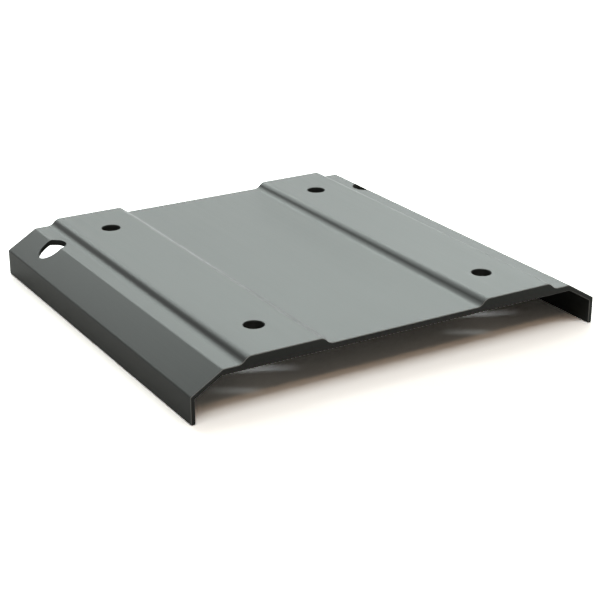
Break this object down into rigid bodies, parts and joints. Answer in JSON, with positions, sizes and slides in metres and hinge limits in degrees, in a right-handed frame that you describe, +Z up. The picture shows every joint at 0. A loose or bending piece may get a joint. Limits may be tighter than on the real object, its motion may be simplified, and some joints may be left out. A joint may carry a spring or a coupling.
{
  "type": "ecu mounting bracket",
  "caption": "Wide shallow aluminium channel bracket with sloped shoulders, short side flanges, raised pad strips with bolt holes and an access hole in each shoulder.",
  "frame": {"origin": "on the ground under the middle of the bracket, which stands on the feet of its two flanges", "axes": "+X across the section, from one flange to the other; +Y along the extrusion, towards the end with the access holes; +Z up, out of the pad strips"},
  "size_m": [0.15, 0.144, 0.0177],
  "materials": {
    "anodised_aluminium": "satin dark anodised"
  },
  "bodies": {
    "root": {"bracket": "anodised_aluminium"}
  },
  "joints": []
}
